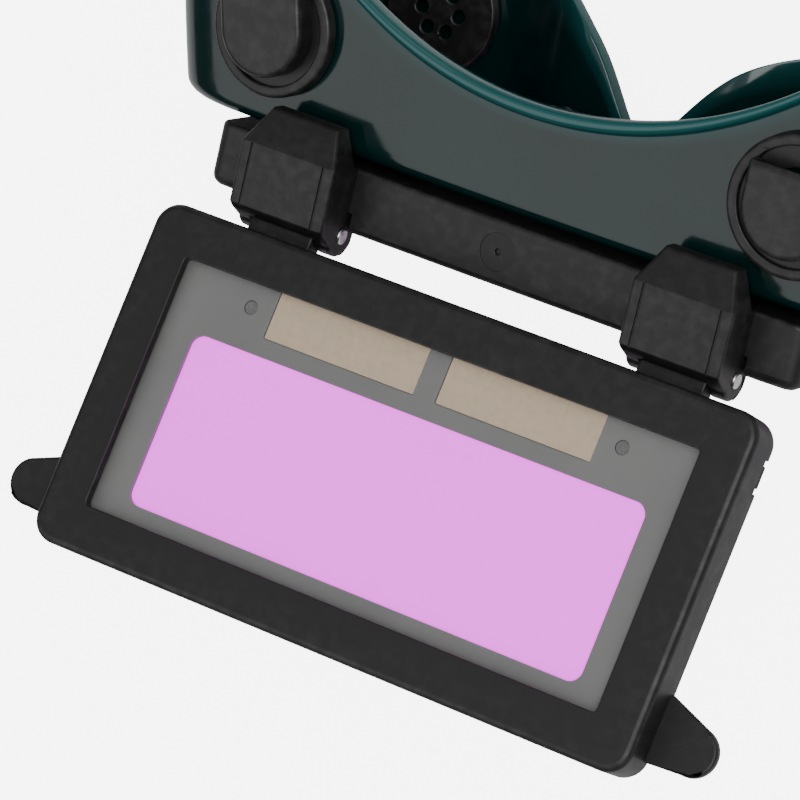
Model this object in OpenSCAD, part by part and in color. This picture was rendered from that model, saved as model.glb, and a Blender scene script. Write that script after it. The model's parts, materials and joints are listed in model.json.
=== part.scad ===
// Flip-up welding goggles: soft mask, fixed window frame, hinged filter frame.
// X is the wearer's width, the front faces -Y, Z is up, and the frame stands on z = 0.

/* [Filter plate] */
// Width of the standard filter plate
plate_w = 108; // [107:0.5:109]
// Height of the standard filter plate
plate_h = 50.8; // [50:0.2:51.4]
// Lip that covers each edge of a plate
plate_lip = 1.9; // [1.6:0.1:2.2]

/* [Filter frame] */
// Outer width of the flip-up frame
flip_w = 121.6; // [119:0.2:124]
// Outer height of the flip-up frame
flip_h = 64.2; // [62:0.2:64.4]
// Thickness of the flip-up frame
flip_t = 9; // [8.8:0.1:9.2]
// Angle between closed and the open stop
flip_open = 110; // [90:1:110]
// Reach of each finger tab beyond the frame
tab_reach = 11.5; // [8:0.5:13]

/* [Filter cartridge] */
// Width of the darkening window
lcd_w = 92.4; // [88:0.2:94]
// Height of the darkening window
lcd_h = 32.1; // [30:0.1:33]
// Drop of the darkening window below the cartridge's centre
lcd_drop = 4.3; // [4:0.1:4.6]
// Width of one solar cell
cell_w = 30.8; // [28:0.2:31]

/* [Fixed frame] */
// Width of the fixed frame
frame_w = 119.6; // [118:0.2:121]
// Height of the fixed frame
frame_h = 68.6; // [68:0.1:69]
// Depth of the fixed frame
frame_d = 11.6; // [11:0.1:11.8]

/* [Hinge] */
// Distance from the middle to the centre of each hinge
hinge_x = 39.75; // [38:0.25:41]
// Width of a hinge housing
housing_w = 19.5; // [19:0.1:20.5]
// Radius of a hinge pin
pin_r = 1.5; // [1.2:0.1:1.6]
// Distance from the pin to the middle of the flip-up frame
pin_drop = 37; // [36.8:0.1:37.4]

/* [Mask] */
// Half width of the mask at its front
mask_half_w = 73.4; // [72:0.2:75]
// Wall thickness of the mask
wall = 2.4; // [2:0.1:2.6]
// Radius of the forehead curve
brow_r = 78; // [74:1:84]
// Distance from the frame's front to the middle of the forehead curve
brow_y = 33.3; // [32.3:0.5:34.3]

/* [Vents] */
// Radius of a vent cap's flange
vent_r = 12.5; // [12:0.1:12.8]
// Distance from the middle to each upper vent
vent_x = 52.3; // [51:0.1:53]
// Distance from the middle to each lower vent
low_vent_x = 50.5; // [50:0.1:51]
// Distance from the frame's front to each vent
vent_y = 31; // [31:0.1:31.6]

/* [Headband] */
// Width of the elastic band
band_w = 25; // [24:0.5:26]
// Thickness of the elastic band
band_t = 1.6; // [1.4:0.1:1.8]

/* [Hidden] */
$fn = 48;

eps = 0.01;
gap = 0.3;
win_w = plate_w - 2 * plate_lip;
win_h = plate_h - 2 * plate_lip;
pocket_w = plate_w + 0.6;
pocket_h = plate_h + 0.6;

// Hinge axis, parallel to X
pin_y = -0.7;
pin_z = frame_h + 0.7;
pin_clear = 0.05;
pin_len = housing_w + 0.8;
ear_r = 3.9;
ear_t = 3;
knuckle_r = 3.6;
knuckle_w = housing_w - 2 * ear_t - 2 * gap;
knuckle_web = 6.5;
relief_r = 4.2;
relief_top = 4.7;
spring_w = 11.2;
spring_len = 10.2;
spring_t = 0.5;
spring_y = 0.4;
spring_z = pin_z + 4;

// Foot under each housing, set into the top of the fixed frame
foot_w = 8;
foot_len = 4;
foot_deep = 2.2;
foot_y = 7;
foot_clear = 0.1;

// Groove beside each ear on a housing's top: distance from the side, width, depth
seam_in = 2.3;
seam_w = 0.4;
seam_deep = 0.3;

// Round gate mark on top of the fixed frame
gate_r = 3.4;
gate_deep = 0.15;
gate_pip_r = 0.5;
gate_pip_deep = 0.6;
gate_y = 6;

// Middle of both windows when the filter frame is closed
win_z = pin_z - pin_drop;
// Front face of the closed filter frame
flip_y = pin_y - 9.7;

// Housing outline, measured above the fixed frame
housing_top = frame_h + 8.5;
housing_crease_y = 12;
housing_rear_y = 18.4;
housing_rear_z = frame_h + 4.9;
housing_under = 1.1;
housing_front_y = -0.4;
housing_edge = 1;
housing_tail_w = 13;

// Layers of the filter frame, measured back from its front face
lip_t = 1.8;
cover_t = 1;
bezel_t = 0.8;
tray_floor = 1;
tray_y = lip_t + cover_t;
tray_t = 4.4;
rear_plate_y = tray_y + tray_t;
rear_plate_t = 0.8;
retainer_y = rear_plate_y + rear_plate_t;
latch_z = 21;
latch_w = 4;
tab_t = 2;

// Places on the cartridge's face, from the window's middle
cell_x = cell_w / 2 + 2.3;
cell_z = 19.6;
cell_h = 9;
board_t = 0.8;
sensor_x = 37.7;
sensor_z = 19.3;
sensor_r = 1.2;
sunk = 0.2;

// Mask
mask_y = 13;
mask_top = 68.4;
mask_corner = 10;
mask_round = 2.5;
mask_fillet = 1.5;
mask_rear_y = 62;
bead = 1.6;
collar_w = 110.4;
collar_h = 53.2;
collar_t = 1.6;
collar_len = 3.4;
roof_camber = 0.0006;
roof_rise = 0.05;
floor_front = 0.8;
floor_rise = 7;
floor_lead = 4;

// Vents: [distance to the right, height of the wall, upward or downward, turn of the cap]
roof_seat = roof_z(vent_x, vent_y);
floor_seat = floor_front + floor_rise;
vents = [[-vent_x, roof_seat, 1, 15], [vent_x, roof_seat, 1, 0],
    [-low_vent_x, floor_seat, -1, 0], [low_vent_x, floor_seat, -1, 0]];
roof_tilt = atan(2 * roof_camber * vent_x);
stem_r = 8.95;
disc_t = 2.4;
disc_floor = 0.7;
stem_out = gap + disc_t - disc_floor;
duct_r = 6.6;
flange_t = 2.3;
dish_r = 10.4;
dish_deep = 0.8;
hood_r = 8.6;
hood_h = 3.6;
hood_wall = 1.4;
hood_rear = 6.6;
retainer_r = 11.4;

// Strap lugs on the mask's sides
lug_y = 48;
lug_z = 36;
lug_turn = 11.8;
lug_off = 2.6;
lug_t = 2.5;
lug_lead = 8;
lug_len = 29.5;
lug_h = 33;
slot_y = 14.5;
slot_w = 3.5;
rivet_r = 2;
rivet_head_r = 4;
rivet_head_t = 1.2;

// ---------------------------------------------------------------- helpers

function smooth(t) = let (c = min(1, max(0, t))) c * c * (3 - 2 * c);

module rounded_rect(w, h, r) {
    square([w - 2 * r, h], center = true);
    square([w, h - 2 * r], center = true);
    for (sx = [-1, 1], sz = [-1, 1])
        translate([sx * (w / 2 - r), sz * (h / 2 - r)]) circle(r);
}

// Upright plate in the XZ plane, from y = 0 back to y = t
module plate(w, h, r, t) {
    translate([0, t, 0]) rotate([90, 0, 0]) linear_extrude(t) rounded_rect(w, h, r);
}

// Upright ring in the XZ plane
module ring(w, h, r, t, in_w, in_h, in_r) {
    difference() {
        plate(w, h, r, t);
        translate([0, -eps, 0]) plate(in_w, in_h, in_r, t + 2 * eps);
    }
}

module bar_x(r, len) {
    rotate([0, 90, 0]) cylinder(r = r, h = len, center = true);
}

// Places a part of the filter frame: drawn closed, at x = 0 and z = 0 in the window's middle
module on_flip() {
    translate([0, pin_y, pin_z]) rotate([-flip_open, 0, 0])
        translate([0, flip_y - pin_y, win_z - pin_z]) children();
}

module on_window() {
    translate([0, 0, win_z]) children();
}

module on_hinge(side) {
    translate([side * hinge_x, 0, 0]) children();
}

// Local Z is a vent's outward axis, z = 0 the wall's outer face
module on_vent(v) {
    up = v[2] > 0;
    translate([v[0], vent_y, v[1]])
        rotate([up ? atan(roof_rise) : 180, up ? sign(v[0]) * roof_tilt : 0, 0]) children();
}

// Local X points out of the mask's side, local Y runs to the rear
module on_lug(side) {
    translate([side * side_half_w(lug_y), lug_y, lug_z])
        mirror([side > 0 ? 0 : 1, 0, 0]) rotate([0, 0, -lug_turn]) children();
}

// ---------------------------------------------------------------- mask

function side_half_w(y) =
    let (d = y - mask_y) mask_half_w + 0.3 * d - 0.0013 * d * d;

function brow_rim(x) =
    let (a = min(abs(x), brow_r - 1))
    min(mask_rear_y, brow_y + brow_r - sqrt(brow_r * brow_r - a * a));

function nose_rim(x) = 22 + 29 * x * x / (x * x + 145);

function side_rim(z) = nose_rim(75) + (mask_rear_y - nose_rim(75)) * smooth(z / 45);

// Height of the floor: high over the nose, level at the vents, low at the cheeks
function floor_z(x, y) =
    let (a = abs(x), d = y - mask_y)
    floor_front
        + smooth((d - 0.6) / (floor_lead - 0.6))
            * (floor_rise - (floor_rise + floor_front - bead) * smooth((a - 64) / 10))
        + smooth((d - 1) / 9.5) * 12.6 * (1 - smooth((a - 14) / 24));

function roof_z(x, y) = mask_top - roof_camber * x * x + roof_rise * (y - mask_y);

// One entry for each point round the mask: [kx, kz, ax, az]. kx and kz place the corner's
// centre, ax and az point away from it.
edge_steps = 12;
corner_steps = 4;
side_steps = 3;
function corner_points(kx, kz, from) = [for (i = [0:corner_steps - 1])
    let (a = from + 90 * i / corner_steps) [kx, kz, cos(a), sin(a)]];
round_points = concat(
    [for (i = [0:edge_steps - 1]) [1 - 2 * i / edge_steps, 1, 0, 1]],
    corner_points(-1, 1, 90),
    [for (i = [0:side_steps - 1]) [-1, 1 - 2 * i / side_steps, -1, 0]],
    corner_points(-1, -1, 180),
    [for (i = [0:edge_steps * 2 - 1]) [-1 + i / edge_steps, -1, 0, -1]],
    corner_points(1, -1, 270),
    [for (i = [0:side_steps - 1]) [1, -1 + 2 * i / side_steps, 1, 0]],
    corner_points(1, 1, 0));

// A point on the mask's section at depth y, moved inwards by inset
function mask_point(k, y, inset) =
    let (
        r = mask_corner,
        x_mid = k[0] * (side_half_w(y) - r),
        low = floor_z(x_mid, y) + r,
        high = roof_z(x_mid, y) - r)
    [x_mid + (r - inset) * k[2], y, low + (high - low) * (k[1] + 1) / 2 + (r - inset) * k[3]];

// Depth at which the mask ends in the direction k
function mask_rim(k) =
    let (
        x_far = k[0] * 66,
        x_brow = k[0] * (side_half_w(brow_rim(x_far)) - mask_corner))
    k[2] != 0 ? side_rim(34 + 30 * k[1]) : k[3] > 0 ? brow_rim(x_brow) : nose_rim(x_far);

// Rows from front to rim: [fixed depth, share of the way to the rim, depth back from it, inset]
bead_len = 2.8;
walk = [for (i = [1:5]) i / 5];
skin_rows = concat(
    [[0, 0, 0, mask_round], [0.134 * mask_round, 0, 0, mask_round / 2],
        [mask_round / 2, 0, 0, 0.134 * mask_round], [mask_round, 0, 0, 0], [floor_lead, 0, 0, 0]],
    [for (t = walk) [floor_lead, t, bead_len * t, 0]],
    [[mask_round, 1, 2, -0.8 * bead], [mask_round, 1, 0.9, -bead], [mask_round, 1, 0, -0.5 * bead]]);
lining_y = wall + mask_fillet;
lining_rows = concat(
    [[lining_y, 1, 0, wall]],
    [for (i = [len(walk) - 1:-1:0]) [lining_y, walk[i], bead_len * walk[i], wall]],
    [[lining_y, 0, 0, wall], [wall + 0.3 * mask_fillet, 0, 0, wall + 0.3 * mask_fillet],
        [wall, 0, 0, wall + mask_fillet]]);

function mask_row(row) = [for (k = round_points)
    let (y0 = mask_y + row[0], y = y0 + (mask_rim(k) - y0) * row[1] - row[2])
    mask_point(k, y, row[3])];

// A rounded rectangle about the window, with one point for each direction
function window_row(w, h, y, r = 2) = [for (k = round_points)
    [k[0] * (w / 2 - r) + r * k[2], y, win_z + k[1] * (h / 2 - r) + r * k[3]]];

function strip(a, b, n, flip = false) = [for (i = [0:n - 1])
    let (j = (i + 1) % n)
    each flip ? [[a + i, a + j, b + j], [a + i, b + j, b + i]]
        : [[a + i, b + j, a + j], [a + i, b + i, b + j]]];

// One closed skin: outside, rim, lining, front wall, collar
module mask_shell() {
    in_w = collar_w - 2 * collar_t;
    in_h = collar_h - 2 * collar_t;
    tip_y = mask_y - collar_len;
    rows = concat(
        [for (row = concat(skin_rows, lining_rows)) mask_row(row)],
        [window_row(win_w, win_h, mask_y + wall), window_row(win_w, win_h, mask_y),
            window_row(in_w, in_h, mask_y), window_row(in_w, in_h, tip_y),
            window_row(collar_w, collar_h, tip_y), window_row(collar_w, collar_h, mask_y)]);
    n = len(round_points);
    m = len(rows);
    polyhedron(
        points = [for (row = rows) each row],
        faces = [for (r = [0:m - 1]) each strip(r * n, ((r + 1) % m) * n, n)],
        convexity = 10);
}

module goggle_body() {
    color([0.05, 0.22, 0.2]) difference() {
        mask_shell();
        for (v = vents) on_vent(v) translate([0, 0, -10]) cylinder(r = stem_r + pin_clear, h = 20);
        for (s = [-1, 1]) on_lug(s) bar_x(rivet_r + pin_clear, 20);
    }
}

// ---------------------------------------------------------------- fixed frame

module front_frame() {
    color([0.13, 0.13, 0.13]) difference() {
        translate([0, 0, frame_h / 2]) plate(frame_w, frame_h, 3, frame_d);
        on_window() {
            translate([0, -1, 0]) plate(win_w, win_h, 1.5, frame_d + 2);
            translate([0, lip_t, 0]) plate(pocket_w, pocket_h, 1, frame_d);
            translate([0, mask_y - collar_len - gap, 0])
                plate(collar_w + 0.6, collar_h + 0.6, 2.3, frame_d);
        }
        translate([0, gate_y, frame_h - gate_deep]) cylinder(r = gate_r, h = 1);
        translate([0, gate_y, frame_h - gate_pip_deep]) cylinder(r = gate_pip_r, h = 1);
        for (s = [-1, 1]) on_hinge(s) {
            translate([0, pin_y, pin_z]) bar_x(relief_r, pin_len + gap);
            translate([-foot_w / 2 - foot_clear, foot_y - foot_len / 2 - foot_clear,
                frame_h - foot_deep - gap]) cube([foot_w + 2 * foot_clear,
                foot_len + 2 * foot_clear, foot_deep + 1]);
        }
    }
}

module lens_gasket() {
    color([0.2, 0.2, 0.2]) on_window() translate([0, lip_t, 0])
        ring(plate_w, plate_h, 1, 0.8, win_w + 1, win_h + 1, 1);
}

module cover_lens() {
    color([0.85, 0.9, 0.9, 0.4]) on_window() translate([0, lip_t + 0.8, 0])
        plate(plate_w, plate_h, 1, 2);
}

module lens_retainer() {
    color([0.16, 0.16, 0.16]) on_window() translate([0, lip_t + 2.8, 0])
        ring(plate_w, plate_h, 1, 2.6, win_w, win_h, 1.5);
}

// ---------------------------------------------------------------- hinges

// Side outline of a housing, in the YZ plane: the body, then the ears round the pin
module housing_side() {
    ear_root = 4;
    polygon([[0, frame_h], [housing_front_y, housing_top - housing_edge],
        [housing_front_y + housing_edge, housing_top], [housing_crease_y, housing_top],
        [housing_rear_y, housing_rear_z], [housing_rear_y, frame_h + housing_under],
        [frame_d, frame_h + housing_under], [frame_d, frame_h]]);
    translate([pin_y, pin_z]) circle(ear_r);
    polygon([[pin_y - ear_r, pin_z], [housing_front_y, housing_top - housing_edge],
        [ear_root, housing_top - housing_edge], [ear_root, pin_z], [pin_y, pin_z]]);
}

// Plan outline of a housing: it narrows behind the crease
module housing_plan() {
    reach = 1;
    polygon([[-housing_w / 2, pin_y - ear_r - reach], [housing_w / 2, pin_y - ear_r - reach],
        [housing_w / 2, housing_crease_y], [housing_tail_w / 2, housing_rear_y + reach],
        [-housing_tail_w / 2, housing_rear_y + reach], [-housing_w / 2, housing_crease_y]]);
}

module extrude_x(w) {
    rotate([90, 0, 90]) translate([0, 0, -w / 2]) linear_extrude(w) children();
}

module hinge_housing(side) {
    room_w = knuckle_w + 2 * gap;
    room = 9;
    color([0.13, 0.13, 0.13]) on_hinge(side) difference() {
        union() {
            intersection() {
                extrude_x(housing_w) housing_side();
                translate([0, 0, pin_z - ear_r - 1]) linear_extrude(20) housing_plan();
            }
            translate([-foot_w / 2, foot_y - foot_len / 2, frame_h - foot_deep])
                cube([foot_w, foot_len, foot_deep + 1]);
        }
        // Room for the knuckle, open at the front and below
        translate([0, pin_y, pin_z]) bar_x(relief_r, room_w);
        translate([-room_w / 2, pin_y - room, pin_z - room]) cube([room_w, room, room + relief_top]);
        for (s = [-1, 1]) translate([s * (housing_w / 2 - seam_in) - seam_w / 2, pin_y - ear_r,
            housing_top - seam_deep]) cube([seam_w, housing_crease_y - pin_y + ear_r, 1]);
        // Chamber for the detent spring
        translate([-spring_w / 2 - gap, 0, spring_z])
            cube([spring_w + 2 * gap, spring_y + spring_len + gap, 3 * spring_t]);
        translate([0, pin_y, pin_z]) bar_x(pin_r + pin_clear, housing_w + 2);
    }
}

module hinge_pin(side) {
    color([0.75, 0.75, 0.77]) on_hinge(side) translate([0, pin_y, pin_z]) bar_x(pin_r, pin_len);
}

// Flat steel leaf above the knuckle
module detent_spring(side) {
    color([0.7, 0.7, 0.72]) on_hinge(side)
        translate([-spring_w / 2, spring_y, spring_z]) cube([spring_w, spring_len, spring_t]);
}

// ---------------------------------------------------------------- filter frame

// Right finger tab, at the back of the frame: a tapered root and a round tip
module finger_tab() {
    root = flip_w / 2;
    tip_r = 4.4;
    tip_x = root + tab_reach - tip_r;
    tip_z = -23.4;
    translate([0, flip_t, 0]) rotate([90, 0, 0]) linear_extrude(tab_t) {
        translate([tip_x, tip_z]) circle(tip_r);
        polygon([[root - 2, tip_z + 7.8], [root, tip_z + 7.5], [tip_x + 2, tip_z + 3.92],
            [tip_x + 1, tip_z - 4.28], [root - 2, tip_z - 4.8]]);
    }
}

module flip_frame() {
    color([0.13, 0.13, 0.13]) on_flip() difference() {
        union() {
            plate(flip_w, flip_h, 4.6, flip_t);
            finger_tab();
            mirror([1, 0, 0]) finger_tab();
            for (s = [-1, 1]) translate([s * hinge_x, pin_y - flip_y, pin_z - win_z]) {
                bar_x(knuckle_r, knuckle_w);
                translate([-knuckle_w / 2, -knuckle_r, -knuckle_web])
                    cube([knuckle_w, knuckle_r + gap, knuckle_web]);
            }
        }
        translate([0, -1, 0]) plate(win_w, win_h, 0.8, flip_t + 2);
        translate([0, lip_t, 0]) plate(pocket_w, pocket_h, 1, flip_t);
        // Slot for the retainer's latch
        translate([pocket_w / 2 - 1, retainer_y - 0.5, latch_z - 1]) cube([10, 4, latch_w + 2]);
        for (s = [-1, 1]) translate([s * hinge_x, pin_y - flip_y, pin_z - win_z])
            bar_x(pin_r + pin_clear, knuckle_w + 2);
    }
}

module front_cover_plate() {
    color([0.9, 0.93, 0.95, 0.35]) on_flip() translate([0, lip_t, 0]) plate(plate_w, plate_h, 1, cover_t);
}

// Grey face of the cartridge, with windows for the cells, the sensors and the darkening glass
module filter_bezel() {
    color([0.45, 0.45, 0.44]) on_flip() translate([0, tray_y, 0]) difference() {
        plate(plate_w, plate_h, 1, bezel_t);
        translate([0, -1, -lcd_drop]) plate(lcd_w, lcd_h, 2.4, bezel_t + 2);
        for (s = [-1, 1]) {
            translate([s * cell_x, -1, cell_z]) plate(cell_w + sunk, cell_h + sunk, 0.4, bezel_t + 2);
            translate([s * sensor_x, -1, sensor_z]) rotate([-90, 0, 0])
                cylinder(r = sensor_r + sunk / 2, h = bezel_t + 2);
        }
    }
}

module lcd_filter() {
    color([1, 0.62, 1]) on_flip() translate([0, tray_y + bezel_t, -lcd_drop])
        plate(lcd_w + 4, lcd_h + 2, 1, 2);
}

module solar_cell(side) {
    color([0.7, 0.65, 0.58]) on_flip()
        translate([side * cell_x, tray_y + sunk, cell_z]) plate(cell_w, cell_h, 0.3, bezel_t);
}

module light_sensors() {
    color([0.35, 0.35, 0.36]) on_flip() for (s = [-1, 1])
        translate([s * sensor_x, tray_y + sunk, sensor_z]) rotate([-90, 0, 0])
            cylinder(r = sensor_r, h = bezel_t);
}

module circuit_board() {
    color([0.1, 0.35, 0.15]) on_flip() translate([0, tray_y + bezel_t + sunk + 0.1, cell_z - 0.2])
        plate(100, 10, 0.5, board_t);
}

// Two coin cells soldered to the back of the board
module backup_cells() {
    color([0.75, 0.75, 0.75]) on_flip() for (s = [-1, 1])
        translate([s * 20, tray_y + bezel_t + sunk + 0.1 + board_t, cell_z - 0.2]) rotate([-90, 0, 0])
            cylinder(r = 4.8, h = 1.4);
}

// Back shell of the cartridge, with a window behind the darkening glass
module filter_tray() {
    color([0.12, 0.12, 0.12]) on_flip() translate([0, tray_y + bezel_t, 0]) difference() {
        plate(plate_w, plate_h, 1, tray_t - bezel_t);
        translate([0, -1, 0]) plate(plate_w - 3, plate_h - 2, 1, tray_t - bezel_t - tray_floor + 1);
        translate([0, -1, -lcd_drop]) plate(lcd_w, lcd_h, 2, 9);
    }
}

module rear_cover_plate() {
    color([0.9, 0.93, 0.95, 0.35]) on_flip() translate([0, rear_plate_y, 0])
        plate(plate_w, plate_h, 1, rear_plate_t);
}

module filter_retainer() {
    color([0.16, 0.16, 0.16]) on_flip() translate([0, retainer_y, 0]) {
        ring(plate_w, plate_h, 1, flip_t - retainer_y, win_w - 2, win_h - 2, 1.5);
        translate([plate_w / 2 - 1, 0, latch_z])
            cube([(flip_w - plate_w) / 2 + 0.8, flip_t - retainer_y, latch_w]);
    }
}

// ---------------------------------------------------------------- vents

// Outline of the hood: half round at the front, straight sides back to y = rear
module hood_outline(r, rear) {
    intersection() {
        circle(r);
        translate([-r, -r]) square([2 * r, r]);
    }
    translate([-r, -eps]) square([2 * r, rear]);
}

// Dished flange, a stem through the wall, and a hood that opens to the rear
module vent_cap(v) {
    top = gap + flange_t;
    color([0.1, 0.1, 0.1]) on_vent(v) rotate([0, 0, v[3]]) mirror([0, v[2] > 0 ? 0 : 1, 0]) {
        difference() {
            translate([0, 0, gap]) cylinder(r = vent_r, h = flange_t);
            translate([0, 0, -1]) cylinder(r = duct_r, h = top + 2);
            translate([0, 0, top - dish_deep]) cylinder(r = dish_r, h = 2);
        }
        difference() {
            translate([0, 0, -wall - stem_out]) cylinder(r = stem_r, h = wall + stem_out + gap + eps);
            translate([0, 0, -wall - stem_out - 1]) cylinder(r = duct_r, h = 12);
        }
        difference() {
            translate([0, 0, top - dish_deep - eps]) linear_extrude(hood_h + dish_deep)
                hood_outline(hood_r, hood_rear);
            translate([0, 0, gap + 1]) linear_extrude(flange_t + hood_h - 1 - hood_wall)
                hood_outline(hood_r - hood_wall, hood_rear + 1);
        }
    }
}

// Disc that snaps on the stem inside the mask, with a ring of air holes
module vent_retainer(v) {
    low = -wall - gap - disc_t;
    color([0.1, 0.1, 0.1]) on_vent(v) difference() {
        translate([0, 0, low]) cylinder(r = retainer_r, h = disc_t);
        translate([0, 0, low + disc_floor]) cylinder(r = stem_r + pin_clear, h = disc_t);
        for (a = [0:60:300]) rotate([0, 0, a]) translate([4, 0, low - 1]) cylinder(r = 1.3, h = 4);
    }
}

// ---------------------------------------------------------------- headband

// Flat plate on a boss, with a rear slot for the band
module strap_lug(side) {
    boss_r = 5;
    corner = 4;
    color([0.12, 0.12, 0.12]) on_lug(side) difference() {
        union() {
            translate([lug_off, lug_len / 2 - lug_lead, 0]) rotate([90, 0, 90])
                linear_extrude(lug_t) rounded_rect(lug_len, lug_h, corner);
            translate([0.1, 0, 0]) rotate([0, 90, 0]) cylinder(r = boss_r, h = lug_off);
        }
        translate([lug_off - 1, slot_y, -band_w / 2 - 0.7]) cube([lug_t + 2, slot_w, band_w + 1.4]);
        bar_x(rivet_r + pin_clear, 20);
    }
}

// Shank with a flat head outside the lug and another inside the mask
module lug_rivet(side) {
    outer = lug_off + lug_t;
    inner = -wall - 0.1;
    color([0.7, 0.7, 0.7]) on_lug(side) rotate([0, 90, 0]) {
        translate([0, 0, inner]) cylinder(r = rivet_r, h = outer - inner);
        translate([0, 0, outer]) cylinder(r = rivet_head_r, h = rivet_head_t);
        translate([0, 0, inner - rivet_head_t]) cylinder(r = rivet_head_r, h = rivet_head_t);
    }
}

// Band round the lug's rear bar, in the lug's own plane: [outwards, rearwards]
band_end = [[1.4, 36], [1.2, 24], [1.3, 18], [2.2, 16.2], [3.8, 15.7], [5.6, 16.2], [6.5, 18],
    [6.3, 24], [4.6, 30], [3.3, 36]];
// Band behind the mask: [x, y, height of its middle]
band_rear_y = 172;
band_loop = [[94, 86, 35.5], [96.5, 98, 33], [97, 110, 29.5], [95.5, 122, 26], [91.5, 134, 22.5],
    [85, 145, 19.5], [76, 154.5, 17], [65, 162, 15.6], [52, 167.5, 15], [38, 170.5, 15],
    [22, band_rear_y, 15]];

function from_lug(p) =
    [side_half_w(lug_y) + p[0] * cos(lug_turn) + p[1] * sin(lug_turn),
        lug_y - p[0] * sin(lug_turn) + p[1] * cos(lug_turn), lug_z];

band_half = concat([for (p = band_end) from_lug(p)], band_loop);
band_path = concat(band_half,
    [for (i = [len(band_half) - 1:-1:0]) [-band_half[i][0], band_half[i][1], band_half[i][2]]]);

function flat(v) = [v[0], v[1]] / norm([v[0], v[1]]);
function band_dir(i) =
    flat(band_path[min(i + 1, len(band_path) - 1)] - band_path[max(i - 1, 0)]);

module headband() {
    n = len(band_path);
    color([0.15, 0.15, 0.16]) polyhedron(
        points = [for (i = [0:n - 1]) let (d = band_dir(i), p = band_path[i])
            each [for (c = [[-1, -1], [1, -1], [1, 1], [-1, 1]])
                [p[0] + c[0] * d[1] * band_t / 2, p[1] - c[0] * d[0] * band_t / 2,
                    p[2] + c[1] * band_w / 2]]],
        faces = concat([[3, 2, 1, 0]],
            [for (i = [0:n - 2]) each strip(4 * i, 4 * i + 4, 4, true)],
            [[for (j = [0:3]) 4 * (n - 1) + j]]),
        convexity = 10);
}

// Slider on the band's straight stretch: a flat case with two windows in its back
module strap_adjuster() {
    case = [22, 5, band_w + 5];
    window = [6, 4, band_w + 0.8];
    color([0.12, 0.12, 0.12]) translate([0, band_rear_y, band_w / 2 + 2.5]) difference() {
        cube(case, center = true);
        cube([case[0] + 2, band_t + 2 * (gap + 0.1), window[2]], center = true);
        for (s = [-1, 1]) translate([s * 5.2, case[1] / 2, 0]) cube(window, center = true);
        translate([0, -case[1] / 2, 0]) cube([14, 4, window[2]], center = true);
    }
}

// ---------------------------------------------------------------- assembly

goggle_body();
front_frame();
lens_gasket();
cover_lens();
lens_retainer();
hinge_housing(-1);  // hinge_housing_left
hinge_housing(1);  // hinge_housing_right
hinge_pin(-1);  // hinge_pin_left
hinge_pin(1);  // hinge_pin_right
detent_spring(-1);  // detent_spring_left
detent_spring(1);  // detent_spring_right
flip_frame();
front_cover_plate();
filter_bezel();
lcd_filter();
solar_cell(-1);  // solar_cell_left
solar_cell(1);  // solar_cell_right
light_sensors();
circuit_board();
backup_cells();
filter_tray();
rear_cover_plate();
filter_retainer();
vent_cap(vents[0]);  // vent_cap_top_left
vent_cap(vents[1]);  // vent_cap_top_right
vent_cap(vents[2]);  // vent_cap_bottom_left
vent_cap(vents[3]);  // vent_cap_bottom_right
vent_retainer(vents[0]);  // vent_retainer_top_left
vent_retainer(vents[1]);  // vent_retainer_top_right
vent_retainer(vents[2]);  // vent_retainer_bottom_left
vent_retainer(vents[3]);  // vent_retainer_bottom_right
strap_lug(-1);  // strap_lug_left
strap_lug(1);  // strap_lug_right
lug_rivet(-1);  // lug_rivet_left
lug_rivet(1);  // lug_rivet_right
headband();
strap_adjuster();
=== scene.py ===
"""The looks of the flip-up welding goggles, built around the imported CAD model.

Lengths are in millimetres until a mesh is made; MM turns them into metres.
"""

import json
import math

import bmesh
import bpy
import numpy as np
from mathutils import Matrix, Vector
from mathutils.bvhtree import BVHTree
from mathutils.geometry import delaunay_2d_cdt


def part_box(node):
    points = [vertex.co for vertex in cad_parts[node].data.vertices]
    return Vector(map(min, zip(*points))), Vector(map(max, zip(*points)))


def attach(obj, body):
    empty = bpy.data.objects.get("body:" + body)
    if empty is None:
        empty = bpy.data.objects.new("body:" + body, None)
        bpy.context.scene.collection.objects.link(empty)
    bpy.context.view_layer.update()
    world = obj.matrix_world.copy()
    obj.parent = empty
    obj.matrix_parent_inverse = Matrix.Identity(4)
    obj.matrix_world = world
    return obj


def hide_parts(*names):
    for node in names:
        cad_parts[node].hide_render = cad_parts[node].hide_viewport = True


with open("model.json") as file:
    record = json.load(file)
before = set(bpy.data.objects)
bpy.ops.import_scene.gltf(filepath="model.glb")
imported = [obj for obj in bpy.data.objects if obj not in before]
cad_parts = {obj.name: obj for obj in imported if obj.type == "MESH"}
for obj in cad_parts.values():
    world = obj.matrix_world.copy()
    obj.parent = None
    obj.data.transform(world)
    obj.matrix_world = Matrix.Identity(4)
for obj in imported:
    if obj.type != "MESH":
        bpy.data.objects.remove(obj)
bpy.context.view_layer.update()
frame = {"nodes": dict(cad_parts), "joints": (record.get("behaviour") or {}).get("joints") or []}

MM = 0.001
# Plates lie on each other in the CAD model. Here each is this much smaller all round.
PLATE_INSET = 0.02

flip_joint = next(j for j in frame["joints"] if j["name"] == "flip_hinge")
PIN = Vector(flip_joint["pos_m"]) / MM
FLIP_OPEN = math.radians(flip_joint["range_deg"][1])
TO_CLOSED = Matrix.Rotation(FLIP_OPEN, 3, "X")


def box_mm(node):
    """Lowest and highest corner of a CAD node, in millimetres."""
    low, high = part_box(node)
    return low / MM, high / MM


# ---------------------------------------------------------------- camera, light, floor


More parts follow.
